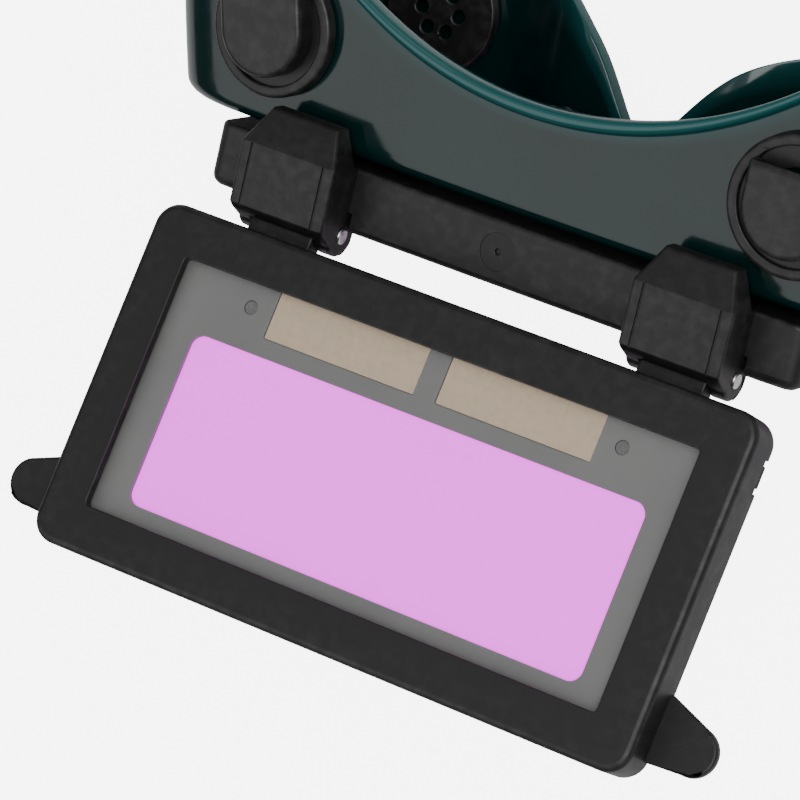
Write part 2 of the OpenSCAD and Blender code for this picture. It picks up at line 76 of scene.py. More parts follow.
def add_camera():
    """Looks down on the goggles from above, from the +X side and a little from behind."""
    to_viewer = Vector((0.438, 0.270, 0.858)).normalized()
    image_up = Vector((-0.321, 0.938, -0.132))
    aim = Vector((-11.1, -24.8, 70)) * MM
    distance = 0.7912
    right = image_up.cross(to_viewer).normalized()
    up = to_viewer.cross(right)
    data = bpy.data.cameras.new("camera")
    data.sensor_width = 36
    data.lens = 203.2
    data.clip_start = 0.05
    data.clip_end = 10
    camera = bpy.data.objects.new("camera", data)
    bpy.context.scene.collection.objects.link(camera)
    turn = Matrix((right, up, to_viewer)).transposed().to_4x4()
    camera.matrix_world = Matrix.Translation(aim + to_viewer * distance) @ turn
    bpy.context.scene.camera = camera


def add_area_light(name, place, target, size, power):
    """A rectangular lamp at place, in metres, that faces target. The power is in watts."""
    data = bpy.data.lights.new(name, "AREA")
    data.shape = "RECTANGLE"
    data.size, data.size_y = size
    data.energy = power
    light = bpy.data.objects.new(name, data)
    bpy.context.scene.collection.objects.link(light)
    light.location = place
    light.rotation_euler = (Vector(target) - Vector(place)).to_track_quat("-Z", "Y").to_euler()


def add_lights():
    """A dim room with a paler ceiling, and four soft lamps."""
    world = bpy.data.worlds.new("studio")
    bpy.context.scene.world = world
    world.use_nodes = True
    tree = world.node_tree
    background = tree.nodes["Background"]
    where = tree.nodes.new("ShaderNodeTexCoord")
    split = tree.nodes.new("ShaderNodeSeparateXYZ")
    ceiling = tree.nodes.new("ShaderNodeMapRange")
    ceiling.interpolation_type = "SMOOTHSTEP"
    ceiling.inputs["From Min"].default_value = 0.3
    ceiling.inputs["From Max"].default_value = 0.85
    ceiling.inputs["To Min"].default_value = 0.09
    ceiling.inputs["To Max"].default_value = 0.6
    tree.links.new(where.outputs["Generated"], split.inputs[0])
    tree.links.new(split.outputs["Z"], ceiling.inputs["Value"])
    tree.links.new(ceiling.outputs["Result"], background.inputs["Strength"])
    background.inputs["Color"].default_value = (1, 1, 1, 1)
    middle = (0, 0.02, 0.05)
    add_area_light("key", (-0.6, -0.45, 1.1), middle, (1.2, 1.1), 4.4)
    add_area_light("fill", (0.9, -0.7, 0.8), middle, (0.9, 0.9), 1.6)
    add_area_light("back", (0.1, 1.2, 0.7), middle, (1.0, 0.5), 1.6)
    add_area_light("top", (0.62, 0.42, 1.25), middle, (1.0, 1.0), 13)


# ---------------------------------------------------------------- materials


class Material:
    """A material and short ways to add nodes to it."""

    def __init__(self, name, base, roughness, **values):
        self.material = bpy.data.materials.new(name)
        self.material.use_nodes = True
        self.tree = self.material.node_tree
        self.shader = self.tree.nodes["Principled BSDF"]
        self.shader.inputs["Base Color"].default_value = (*base, 1)
        self.shader.inputs["Roughness"].default_value = roughness
        for key, value in values.items():
            self.shader.inputs[key.replace("_", " ")].default_value = value

    def node(self, kind, inputs=None, **settings):
        """Adds a node. inputs holds a value or a socket for each input it names."""
        made = self.tree.nodes.new(kind)
        for key, value in settings.items():
            setattr(made, key, value)
        for key, value in (inputs or {}).items():
            if isinstance(value, bpy.types.NodeSocket):
                self.tree.links.new(value, made.inputs[key])
            else:
                made.inputs[key].default_value = value
        return made

    def into_shader(self, name, socket):
        self.tree.links.new(socket, self.shader.inputs[name])

    def place(self, stretch=(1, 1, 1)):
        """Object coordinates in metres, stretched along the axes."""
        where = self.node("ShaderNodeTexCoord").outputs["Object"]
        return self.node("ShaderNodeMapping", {"Vector": where, "Scale": stretch}).outputs[0]

    def noise(self, size_mm, detail=4, rough=0.55, stretch=(1, 1, 1)):
        """Noise of about this grain size, from 0 to 1."""
        return self.node("ShaderNodeTexNoise", {
            "Vector": self.place(stretch), "Scale": 1000 / size_mm,
            "Detail": detail, "Roughness": rough}).outputs["Fac"]

    def spread(self, value, low, high, to_low=0.0, to_high=1.0):
        """Stretches low..high to to_low..to_high and clips what lies outside."""
        return self.node("ShaderNodeMapRange", {
            "Value": value, "From Min": low, "From Max": high,
            "To Min": to_low, "To Max": to_high}).outputs["Result"]

    def colours(self, value, low, high):
        """Runs from low to high, each a colour or a socket, as value goes from 0 to 1."""
        mix = self.node("ShaderNodeMix", data_type="RGBA")
        self.tree.links.new(value, mix.inputs["Factor"])
        for name, colour in (("A", low), ("B", high)):
            socket = next(s for s in mix.inputs if s.type == "RGBA" and s.name == name)
            if isinstance(colour, bpy.types.NodeSocket):
                self.tree.links.new(colour, socket)
            else:
                socket.default_value = (*colour, 1)
        return next(s for s in mix.outputs if s.type == "RGBA")

    def combine(self, a, b, operation="ADD"):
        return self.node("ShaderNodeMath", {0: a, 1: b}, operation=operation).outputs[0]

    def attribute(self, name):
        """A value that the mesh carries at each of its points."""
        return self.node("ShaderNodeAttribute", attribute_name=name).outputs["Fac"]

    def bump(self, height, depth_mm, under=None):
        """Relief depth_mm deep, on top of the relief named by under."""
        made = self.node("ShaderNodeBump", {
            "Height": height, "Strength": 1.0, "Distance": depth_mm * MM})
        if under is not None:
            self.tree.links.new(under, made.inputs["Normal"])
        self.into_shader("Normal", made.outputs["Normal"])
        return made.outputs["Normal"]


def glossy_pvc():
    """Soft dark green PVC: glossy, a little wavy, with a painted glow of light shining through the
    rolled rim, where the PVC is thinnest.
    """
    m = Material("glossy_pvc", (0.003, 0.05, 0.045), 0.14, Specular_IOR_Level=0.5)
    cloudy = m.noise(26, detail=2)
    body = m.colours(m.spread(cloudy, 0.3, 0.7), (0.0007, 0.0105, 0.010), (0.0011, 0.0155, 0.015))
    # The rim attribute paints a paler teal along the rolled rim: a glow of light shining through it,
    # painted into the colour.
    rim_glow = m.attribute("rim")
    m.into_shader("Base Color", m.colours(rim_glow, body, (0.006, 0.074, 0.075)))
    haze = m.spread(m.noise(3.5, detail=6), 0.35, 0.75, 0.1, 0.2)
    m.into_shader("Roughness", haze)
    waves = m.bump(m.noise(16, detail=1), 0.03)
    m.bump(m.noise(0.6, detail=3), 0.002, under=waves)
    return m.material


def black_plastic(name, shade=0.0075, roughness=0.46, grain_mm=0.35):
    """Moulded black plastic with a spark-eroded grain, sharp edges polished smooth, and a painted
    highlight along them.
    """
    m = Material(name, (shade, shade, shade), roughness, Specular_IOR_Level=0.37)
    patches = m.spread(m.noise(11, detail=5), 0.3, 0.75)
    body = m.colours(patches, (shade * 0.97,) * 3, (shade * 1.06, shade * 1.05, shade * 1.01))
    # Sharp edges, broken up by noise: the lower roughness there is polish, and the lighter base
    # colour there is a painted highlight.
    edge_polish_and_highlight = m.combine(m.attribute("edge"), m.spread(m.noise(2.2, detail=6), 0.42, 0.72), "MULTIPLY")
    m.into_shader("Base Color", m.colours(edge_polish_and_highlight, body, (shade * 3.2,) * 3))
    rough = m.spread(m.noise(6, detail=6), 0.3, 0.75, roughness - 0.006, roughness + 0.008)
    m.into_shader("Roughness", m.combine(rough, m.combine(edge_polish_and_highlight, 0.12, "MULTIPLY"), "SUBTRACT"))
    grain = m.bump(m.noise(grain_mm, detail=2), 0.008)
    m.bump(m.noise(12, detail=1), 0.004, under=grain)
    return m.material


def steel(name, shade=0.62, roughness=0.3, stretch=(0.05, 1, 1)):
    """Bright steel with fine drawing marks and a little tarnish."""
    m = Material(name, (shade,) * 3, roughness, Metallic=1.0)
    drawn = m.noise(0.25, detail=3, stretch=stretch)
    m.into_shader("Roughness", m.spread(drawn, 0.3, 0.7, roughness - 0.1, roughness + 0.12))
    tarnish = m.spread(m.noise(1.5, detail=5), 0.45, 0.7)
    m.into_shader("Base Color", m.colours(tarnish, (shade,) * 3, (shade * 0.6,) * 3))
    m.bump(drawn, 0.004)
    return m.material


def clear_plastic(name, tint, alpha):
    """Clear polycarbonate with faint wiping marks."""
    m = Material(name, tint, 0.05, IOR=1.58)
    smears = m.spread(m.noise(9, detail=5, stretch=(0.35, 1, 1)), 0.45, 0.75)
    m.into_shader("Alpha", m.spread(smears, 0, 1, alpha, alpha + 0.015))
    m.into_shader("Roughness", m.spread(smears, 0, 1, 0.03, 0.16))
    m.bump(m.noise(14, detail=1), 0.002)
    return m.material


def violet_filter():
    """Interference coating: an even violet pink with a faint drift of hue, and a painted glow."""
    m = Material("violet_filter", (0.9, 0.13, 0.92), 0.3)
    drift = m.spread(m.noise(45, detail=1), 0.3, 0.7)
    m.into_shader("Base Color", m.colours(drift, (0.96, 0.05, 0.96), (0.94, 0.06, 0.97)))
    m.into_shader("Roughness", m.spread(m.noise(3), 0.3, 0.7, 0.28, 0.34))
    m.bump(m.noise(20, detail=1), 0.002)
    # Painted light: the emission makes the filter glow brighter and more saturated than the lamps
    # light it.
    m.shader.inputs["Emission Color"].default_value = (1.0, 0.04, 1.0, 1)
    m.shader.inputs["Emission Strength"].default_value = 1.4
    return m.material


def grey_bezel():
    """Matt grey printed face of the cartridge."""
    m = Material("grey_bezel", (0.17, 0.17, 0.165), 0.42)
    tone = m.spread(m.noise(18, detail=4), 0.3, 0.7)
    m.into_shader("Base Color", m.colours(tone, (0.145, 0.145, 0.142), (0.168, 0.168, 0.164)))
    m.into_shader("Roughness", m.spread(m.noise(2.5), 0.3, 0.7, 0.36, 0.48))
    m.bump(m.noise(0.2, detail=2), 0.004)
    return m.material


# Strips of a solar cell per metre of its width
CELL_STRIPS = 1000 / 5.1


def solar_cell():
    """Thin-film cell: tan, with the fine scribed lines between its strips."""
    m = Material("solar_cell", (0.42, 0.35, 0.27), 0.3)
    stripes = m.node("ShaderNodeTexWave", {
        "Vector": m.place(), "Scale": CELL_STRIPS / 2, "Distortion": 0.0},
        wave_type="BANDS", bands_direction="X", wave_profile="SIN").outputs["Fac"]
    line = m.spread(stripes, 0.0, 0.006, 0.12, 0)
    speckle = m.spread(m.noise(1.2, detail=6), 0.35, 0.7)
    body = m.colours(speckle, (0.57, 0.45, 0.31), (0.5, 0.39, 0.27))
    m.into_shader("Base Color", m.colours(line, body, (0.22, 0.19, 0.15)))
    m.into_shader("Roughness", m.spread(speckle, 0, 1, 0.24, 0.36))
    m.bump(line, 0.01)
    return m.material


def woven_elastic():
    """Knitted elastic webbing. UV: millimetres along the band, then across it."""
    m = Material("woven_elastic", (0.02, 0.02, 0.021), 0.85, Sheen_Weight=0.25)
    uv = m.node("ShaderNodeTexCoord").outputs["UV"]

    def bands(direction, pitch):
        return m.node("ShaderNodeTexWave", {
            "Vector": uv, "Scale": math.pi / (10 * pitch), "Distortion": 0.0},
            wave_type="BANDS", bands_direction=direction, wave_profile="SIN").outputs["Fac"]

    picks = bands("X", 0.9)
    ribs = bands("Y", 1.25)
    knit = m.combine(m.combine(picks, ribs, "MULTIPLY"), m.combine(ribs, 0.5, "MULTIPLY"))
    fuzz = m.spread(m.noise(0.5, detail=5), 0.3, 0.7)
    tone = m.combine(m.combine(knit, 0.55, "MULTIPLY"), m.combine(fuzz, 0.45, "MULTIPLY"))
    m.into_shader("Base Color", m.colours(tone, (0.006, 0.006, 0.007), (0.05, 0.05, 0.053)))
    m.into_shader("Roughness", m.spread(fuzz, 0, 1, 0.78, 0.92))
    m.bump(knit, 0.16)
    return m.material


def black_rubber():
    """Soft black rubber with a dull bloom."""
    m = Material("black_rubber", (0.02, 0.02, 0.02), 0.75)
    bloom = m.spread(m.noise(3, detail=6), 0.4, 0.75)
    m.into_shader("Base Color", m.colours(bloom, (0.016, 0.016, 0.016), (0.04, 0.04, 0.038)))
    m.into_shader("Roughness", m.spread(bloom, 0, 1, 0.68, 0.85))
    m.bump(m.noise(0.4), 0.02)
    return m.material


def circuit_green():
    """Green board with paler tracks."""
    m = Material("circuit_green", (0.02, 0.12, 0.04), 0.4)
    tracks = m.node("ShaderNodeTexVoronoi", {"Vector": m.place(), "Scale": 700.0},
        feature="DISTANCE_TO_EDGE").outputs["Distance"]
    line = m.spread(tracks, 0.02, 0.06)
    m.into_shader("Base Color", m.colours(line, (0.04, 0.22, 0.08), (0.012, 0.09, 0.03)))
    m.into_shader("Roughness", m.spread(m.noise(2), 0.3, 0.7, 0.35, 0.5))
    m.bump(line, 0.03)
    return m.material


def dark_sensor():
    """Grey window over a light sensor."""
    m = Material("dark_sensor", (0.06, 0.06, 0.062), 0.25)
    tone = m.spread(m.noise(0.8), 0.3, 0.7)
    m.into_shader("Base Color", m.colours(tone, (0.095, 0.095, 0.095), (0.125, 0.125, 0.124)))
    m.into_shader("Roughness", m.spread(tone, 0, 1, 0.2, 0.35))
    m.bump(m.noise(0.5, detail=2), 0.003)
    return m.material


def floor_paper():
    """Pale paper, lit so brightly that its shadows wash out in the picture."""
    m = Material("floor_paper", (0.8, 0.8, 0.8), 0.9)
    tone = m.spread(m.noise(120, detail=3), 0.3, 0.7)
    m.into_shader("Base Color", m.colours(tone, (0.78, 0.78, 0.78), (0.82, 0.82, 0.82)))
    seen = m.node("ShaderNodeLightPath").outputs["Is Camera Ray"]
    m.shader.inputs["Emission Color"].default_value = (1, 1, 1, 1)
    m.into_shader("Emission Strength", m.combine(seen, 6.0, "MULTIPLY"))
    return m.material


PVC = glossy_pvc()
FRAME_BLACK = black_plastic("frame_black")
VENT_BLACK = black_plastic("vent_black", shade=0.010, roughness=0.38, grain_mm=0.5)
PIN_STEEL = steel("pin_steel")
RIVET_STEEL = steel("rivet_steel", shade=0.5, roughness=0.38, stretch=(1, 1, 1))
CLEAR_COVER = clear_plastic("clear_cover", (0.3, 0.31, 0.31), 0.045)
CLEAR_LENS = clear_plastic("clear_lens", (0.4, 0.44, 0.43), 0.14)
VIOLET = violet_filter()
GREY_BEZEL = grey_bezel()
SOLAR = solar_cell()
WOVEN = woven_elastic()
RUBBER = black_rubber()
BOARD = circuit_green()
SENSOR = dark_sensor()


# ---------------------------------------------------------------- mesh helpers


def add_piece(name, mesh, body, material, replaces):
    """Puts a mesh in the scene, on its body, in place of the CAD nodes it replaces."""
    obj = bpy.data.objects.new(name, mesh)
    bpy.context.scene.collection.objects.link(obj)
    mesh.materials.clear()
    mesh.materials.append(material)
    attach(obj, body)
    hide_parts(*replaces)
    return obj


# Outward turns, in degrees, from which the edge polish and painted edge highlight begin, and at which
# they are full
POLISH_AND_HIGHLIGHT_FROM_DEG = 8
POLISH_AND_HIGHLIGHT_FULL_DEG = 24


def set_edge_polish_and_highlight(mesh):
    """Point attribute "edge": 1 where the surface turns sharply outwards. It marks the polish and the
    painted highlight on black plastic edges.
    """
    normals = np.zeros(len(mesh.polygons) * 3)
    mesh.polygons.foreach_get("normal", normals)
    normals = normals.reshape(-1, 3)
    centres = np.zeros(len(mesh.polygons) * 3)
    mesh.polygons.foreach_get("center", centres)
    centres = centres.reshape(-1, 3)
    polish_and_highlight = np.zeros(len(mesh.vertices))
    pairs = {}
    for index, polygon in enumerate(mesh.polygons):
        for key in polygon.edge_keys:
            pairs.setdefault(key, []).append(index)
    for (a, b), faces in pairs.items():
        if len(faces) == 2:
            f, g = faces
            outward = (centres[g] - centres[f]) @ normals[f] < 0
            turn = math.degrees(math.acos(min(1.0, max(-1.0, normals[f] @ normals[g]))))
            if outward and turn > POLISH_AND_HIGHLIGHT_FROM_DEG:
                value = min(1.0, turn / POLISH_AND_HIGHLIGHT_FULL_DEG)
                polish_and_highlight[a] = max(polish_and_highlight[a], value)
                polish_and_highlight[b] = max(polish_and_highlight[b], value)
    mesh.attributes.new("edge", "FLOAT", "POINT").data.foreach_set("value", polish_and_highlight)


def shade(mesh, sharp_deg):
    """Smooth shading that stays crisp at edges above sharp_deg."""
    mesh.shade_smooth()
    bm = bmesh.new()
    bm.from_mesh(mesh)
    for edge in bm.edges:
        edge.smooth = len(edge.link_faces) == 2 and edge.calc_face_angle(0) < math.radians(sharp_deg)
    bm.to_mesh(mesh)
    bm.free()


# Degrees between two faces: taken as flat, rounded off, and drawn crisp
FLAT_DEG = 0.4
ROUND_FROM_DEG = 28
CRISP_FROM_DEG = 38
# Points closer than this many millimetres are one point
SAME_POINT = 0.002


def room_beside(edge):
    """The widest rounding, in millimetres, that the edges meeting this one leave room for."""
    room = 99.0
    for vert in edge.verts:
        along = (edge.other_vert(vert).co - vert.co).normalized()
        for other in vert.link_edges:
            if other != edge:
                away = (other.other_vert(vert).co - vert.co).normalized()
                sideways = (away - along * away.dot(along)).length
                if sideways > 0.5:
                    room = min(room, 0.45 * other.calc_length() / MM)
    return room


def pull_in_strays(mesh, cad_mesh):
    """Puts any point that rounding threw outside the CAD surface back on it."""
    bm = bmesh.new()
    bm.from_mesh(cad_mesh)
    surface = BVHTree.FromBMesh(bm)
    for vert in mesh.vertices:
        place, normal, _, distance = surface.find_nearest(vert.co)
        if distance > 0.03 * MM and (vert.co - place).dot(normal) > 0:
            vert.co = place
    bm.free()


def mend_folded(mesh):
    """Splits into triangles each thin face that rounding folded, so that it covers only itself."""
    mesh.calc_loop_triangles()
    drawn = dict.fromkeys(range(len(mesh.polygons)), 0)
    for triangle in mesh.loop_triangles:
        drawn[triangle.polygon_index] += triangle.area
    folded = [p.index for p in mesh.polygons if drawn[p.index] > 3 * p.area + MM * MM]
    bm = bmesh.new()
    bm.from_mesh(mesh)
    bm.faces.ensure_lookup_table()
    for face in [bm.faces[index] for index in folded]:
        corners = face.verts[:]
        level = face.normal.rotation_difference(Vector((0, 0, 1)))
        height = (level @ face.calc_center_median()).z
        flat = [(level @ v.co).xy / MM for v in corners]
        points, _, triangles, sources, _, _ = delaunay_2d_cdt(flat, [], [range(len(flat))], 1, 1e-4)
        level.invert()
        verts = []
        for point, source in zip(points, sources):
            spot = level @ Vector((point.x * MM, point.y * MM, height))
            verts.append(corners[source[0]] if source else bm.verts.new(spot))
        bm.faces.remove(face)
        for triangle in triangles:
            ends = [verts[i] for i in triangle]
            if len(set(ends)) == 3 and bm.faces.get(ends) is None:
                bm.faces.new(ends).smooth = True
    bm.to_mesh(mesh)
    bm.free()


def cut_in_two(bm):
    """Cuts the faces across the middle, so that no flat face runs right round an opening."""
    across = [v.co.x for v in bm.verts]
    middle = (min(across) + max(across)) / 2
    cut = bmesh.ops.bisect_plane(
        bm, geom=bm.verts[:] + bm.edges[:] + bm.faces[:], dist=0.001 * MM,
        plane_co=(middle, 0, 0), plane_no=(1, 0, 0))
    for item in cut["geom_cut"]:
        if isinstance(item, bmesh.types.BMEdge):
            item.seam = True


def set_rounding(bm, rule):
    """Gives each sharp outer edge its share of the widest rounding, which is returned in mm."""
    widths = {}
    for edge in bm.edges:
        if len(edge.link_faces) == 2 and edge.calc_face_angle(0) > math.radians(ROUND_FROM_DEG):
            a, b = (v.co / MM for v in edge.verts)
            if edge.is_convex:
                wanted = rule((a + b) / 2, (b - a).normalized())
                widths[edge.index] = min(wanted, room_beside(edge))
    widest = max(widths.values())
    layer = bm.edges.layers.float.new("bevel_weight_edge")
    crisp = math.radians(CRISP_FROM_DEG)
    for edge in bm.edges:
        edge[layer] = widths.get(edge.index, 0) / widest
        edge.smooth = len(edge.link_faces) == 2 and edge.calc_face_angle(0) < crisp
    for face in bm.faces:
        face.smooth = True
    return widest


def rounded(mesh, name, widest, segments):
    """The mesh with its weighted edges rounded and its shading evened out."""
    obj = bpy.data.objects.new(name + "_raw", mesh)
    bpy.context.scene.collection.objects.link(obj)
    bevel = obj.modifiers.new("round", "BEVEL")
    bevel.limit_method = "WEIGHT"
    bevel.width = widest * MM
    bevel.segments = segments
    bevel.miter_outer = "MITER_ARC"
    bevel.use_clamp_overlap = False
    obj.modifiers.new("normals", "WEIGHTED_NORMAL").keep_sharp = True
    bpy.context.view_layer.update()
    baked = bpy.data.meshes.new_from_object(obj.evaluated_get(bpy.context.evaluated_depsgraph_get()))
    bpy.data.objects.remove(obj)
    baked.name = name
    return baked


def softened(node, name, material, rule, body, segments, framed=False):
    """A copy of a CAD node with its edges rounded, which stands for it.

    rule(middle, direction) gives an edge's rounding in millimetres, from its middle and its
    direction at rest. framed is for a frame round a window."""
    cad_mesh = frame["nodes"][node].data
    bm = bmesh.new()
    bm.from_mesh(cad_mesh)
    bmesh.ops.remove_doubles(bm, verts=bm.verts[:], dist=SAME_POINT * MM)
    if framed:
        cut_in_two(bm)
    bmesh.ops.dissolve_limit(
        bm, angle_limit=math.radians(FLAT_DEG), verts=bm.verts[:], edges=bm.edges[:],
        delimit={"SEAM"})
    widest = set_rounding(bm, rule)
    mesh = bpy.data.meshes.new(name)
    bm.to_mesh(mesh)
    bm.free()
    baked = rounded(mesh, name, widest, segments)
    mend_folded(baked)
    pull_in_strays(baked, cad_mesh)
    set_edge_polish_and_highlight(baked)
    return add_piece(name, baked, body, material, [node])


def loop_mesh(name, rows, closed_rows):
    """Joins equal rings of points into a mesh; closed_rows joins the last ring to the first."""
    count = len(rows[0])
    faces = []
    for r in range(len(rows) if closed_rows else len(rows) - 1):
        a, b = r * count, ((r + 1) % len(rows)) * count
        for i in range(count):
            j = (i + 1) % count
            faces.append((a + i, b + i, b + j, a + j))
    mesh = bpy.data.meshes.new(name)
    mesh.from_pydata([Vector(p) * MM for row in rows for p in row], [], faces)
    bm = bmesh.new()
    bm.from_mesh(mesh)
    if not closed_rows:
        bmesh.ops.holes_fill(bm, edges=bm.edges[:], sides=0)
    bmesh.ops.recalc_face_normals(bm, faces=bm.faces[:])
    bm.to_mesh(mesh)
    bm.free()
    return mesh


# ---------------------------------------------------------------- mask

# Its front wall's outer face, its half width and its roof there, and its rearmost rim
MASK_Y = 13
MASK_HALF_W = 73.4
MASK_TOP = 68.4
MASK_REAR_Y = 62
WALL = 2.4
# Corners of its cross-section, which are wider than they are high along the roof
CORNER_H = 10
TOP_CORNER_W = 16
LOW_CORNER_W = 10
# Forehead curve and the rim over the nose
BROW_R = 78
BROW_Y = 33.3
NOSE_Y = 22
# Rounding of the front wall's edge outside and inside
ROUND = 2.5
FILLET = 1.5
# Rolled rim, and how far it stands out of the wall
BEAD_R = 1.25
BEAD_RISE = 0.35
ROOF_CAMBER = 0.0006
ROOF_RISE = 0.05
FLOOR_FRONT = 0.8
FLOOR_RISE = 7
CHEEK_BEAD = 1.6
# Where the sides' rim is taken from the rim over the nose
CHEEK_X = 75
# The top and bottom rims are measured this far out, times a ring position's share
RIM_X = 66


def smooth(t):
    """Eases from 0 to 1 as t goes from 0 to 1."""
    c = min(1.0, max(0.0, t))
    return c * c * (3 - 2 * c)


def side_half_w(y):
    """Half the mask's width at this depth."""
    d = y - MASK_Y
    return MASK_HALF_W + 0.3 * d - 0.0013 * d * d


def brow_rim(x):
    """Depth of the roof's rim, a round hollow for the forehead."""
    a = min(abs(x), BROW_R - 1)
    return min(MASK_REAR_Y, BROW_Y + BROW_R - math.sqrt(BROW_R ** 2 - a * a))


def nose_rim(x):
    """Depth of the floor's rim, with a notch for the nose."""
    return NOSE_Y + 29 * x * x / (x * x + 145)


def side_rim(z):
    """Depth of the side walls' rim, which runs back as it rises."""
    cheek = nose_rim(CHEEK_X)
    return cheek + (MASK_REAR_Y - cheek) * smooth(z / 45)


def floor_z(x, y):
    """Height of the floor: low under the cheeks' edges, and arched over the nose."""
    a, d = abs(x), y - MASK_Y
    cheek = FLOOR_RISE - (FLOOR_RISE + FLOOR_FRONT - CHEEK_BEAD) * smooth((a - 64) / 10)
    nose = 12.6 * (1 - smooth((a - 14) / 24))
    return FLOOR_FRONT + smooth((d - 0.6) / 3.4) * cheek + smooth((d - 1) / 9.5) * nose


def roof_z(x, y):
    return MASK_TOP - ROOF_CAMBER * x * x + ROOF_RISE * (y - MASK_Y)


def round_points(edge_steps=72, corner_steps=10, side_steps=12):
    """(kx, kz, ax, az) all round the mask: the corner's centre and the way out from it."""
    def corner(kx, kz, start):
        turns = [math.radians(start + 90 * i / corner_steps) for i in range(corner_steps)]
        return [(kx, kz, math.cos(a), math.sin(a)) for a in turns]

    points = [(1 - 2 * i / edge_steps, 1, 0, 1) for i in range(edge_steps)]
    points += corner(-1, 1, 90)
    points += [(-1, 1 - 2 * i / side_steps, -1, 0) for i in range(side_steps)]
    points += corner(-1, -1, 180)
    points += [(-1 + i / edge_steps, -1, 0, -1) for i in range(edge_steps * 2)]
    points += corner(1, -1, 270)
    points += [(1, -1 + 2 * i / side_steps, 1, 0) for i in range(side_steps)]
    points += corner(1, 1, 0)
    return points


def mask_point(k, y, inset):
    """The place of ring position k at this depth, inset millimetres in from the outside."""
    kx, kz, ax, az = k
    corner_w = TOP_CORNER_W if kz > 0 else LOW_CORNER_W
    x_mid = kx * (side_half_w(y) - corner_w)
    low = floor_z(x_mid, y) + CORNER_H
    high = roof_z(x_mid, y) - CORNER_H
    z = low + (high - low) * (kz + 1) / 2 + (CORNER_H - inset) * az
    return (x_mid + (corner_w - inset) * ax, y, z)


def mask_rim(k):
    """Depth of the rim at ring position k."""
    kx, kz, ax, az = k
    x_far = kx * RIM_X
    if ax != 0:
        return side_rim(34 + 30 * kz)
    if az > 0:
        return brow_rim(kx * (side_half_w(brow_rim(x_far)) - TOP_CORNER_W))
    return nose_rim(x_far)


def mask_profile():
    """(fixed depth, share of the way to the rim, depth back from it, inset, painted rim glow)."""
    rows = []
    for i in range(6):
        a = math.radians(90 * i / 5)
        rows.append((ROUND * (1 - math.cos(a)), 0, 0, ROUND * (1 - math.sin(a)), 0))
    # The last value paints the rim's glow of light shining through: full on the rolled bead, fading
    # onto the wall and the lining.
    bead_back = 2 * BEAD_R + 0.5
    for i in range(1, 21):
        t = i / 20
        rows.append((ROUND, t, bead_back * t, 0, smooth((t - 0.9) / 0.1) * 0.3))
    rows.append((ROUND, 1, 2 * BEAD_R + 0.12, -0.1, 0.4))
    for i in range(9):
        a = math.radians(-90 + 180 * i / 8)
        rows.append((ROUND, 1, BEAD_R * (1 - math.sin(a)), -BEAD_RISE - BEAD_R * math.cos(a), 1))
    lip = 0.6
    rows.append((ROUND, 1, 0, WALL - lip, 1))
    rows.append((ROUND, 1, 0.3 * lip, WALL - 0.3 * lip, 0.8))
    rows.append((ROUND, 1, lip, WALL, 0.6))
    lining_y = WALL + FILLET
    for i in range(15, -1, -1):
        t = i / 16
        rows.append((lining_y, t, lip + (bead_back - lip) * t, WALL, smooth((t - 0.85) / 0.15) * 0.4))
    for i in range(1, 5):
        a = math.radians(90 * i / 4)
        rows.append((WALL + FILLET * (1 - math.sin(a)), 0, 0, WALL + FILLET * (1 - math.cos(a)), 0))
    return rows


def window_rows(around):
    """Rings from the lining round the window and out over the collar that holds the frame."""
    lens_low, lens_high = box_mm("cover_lens")
    window_z = (lens_low.z + lens_high.z) / 2
    lens_w = lens_high.x - lens_low.x
    lens_h = lens_high.z - lens_low.z
    corner_r = 2

    def ring(wider, y):
        half_w = (lens_w + wider) / 2 - corner_r
        half_h = (lens_h + wider) / 2 - corner_r
        return [(kx * half_w + corner_r * ax, y, window_z + kz * half_h + corner_r * az)
            for kx, kz, ax, az in around]

    opening, collar_in, collar_out = -3.8, -0.8, 2.4
    collar_tip = MASK_Y - 3.4
    return [ring(opening, MASK_Y + WALL), ring(opening, MASK_Y), ring(collar_in, MASK_Y),
        ring(collar_in, collar_tip), ring(collar_out, collar_tip), ring(collar_out, MASK_Y)]


def mask_mesh():
    """The mask as one closed skin: outside, rolled rim, lining, front wall and collar."""
    around = round_points()
    rows, rim_glows = [], []
    for depth, share, back, inset, tone in mask_profile():
        row = []
        for k in around:
            base = MASK_Y + depth
            y = base + (mask_rim(k) - base) * share - back
            row.append(mask_point(k, y, inset))
        rows.append(row)
        rim_glows.append(tone)

    collar = window_rows(around)
    rows += collar
    rim_glows += [0] * len(collar)
    mesh = loop_mesh("mask_shell", rows, True)
    shade(mesh, 50)
    # Point attribute "rim": how much painted glow of light shining through the rolled rim each point
    # gets.
    values = np.repeat(np.array(rim_glows, np.float32), len(around))
    mesh.attributes.new("rim", "FLOAT", "POINT").data.foreach_set("value", values)
    return mesh


def add_mask():
    add_piece("mask_shell", mask_mesh(), "mask", PVC, ["goggle_body"])


# ---------------------------------------------------------------- black mouldings


def add_fixed_frame():
    """The lens frame: its outer front edge is well rounded, and its rear edge a little."""
    low, high = box_mm("front_frame")
    margin = 3.1

    def rule(middle, direction):
        at_side = abs(abs(middle.x) - high.x) < margin
        at_end = middle.z > high.z - margin or middle.z < low.z + margin
        if middle.y < low.y + 0.3 and (at_side or at_end):
            return 2.0
        if middle.y > high.y - 0.3 and (at_side or at_end):
            return 0.7
        return 0.25

    softened("front_frame", "fixed_frame", FRAME_BLACK, rule, "mask", 4, framed=True)


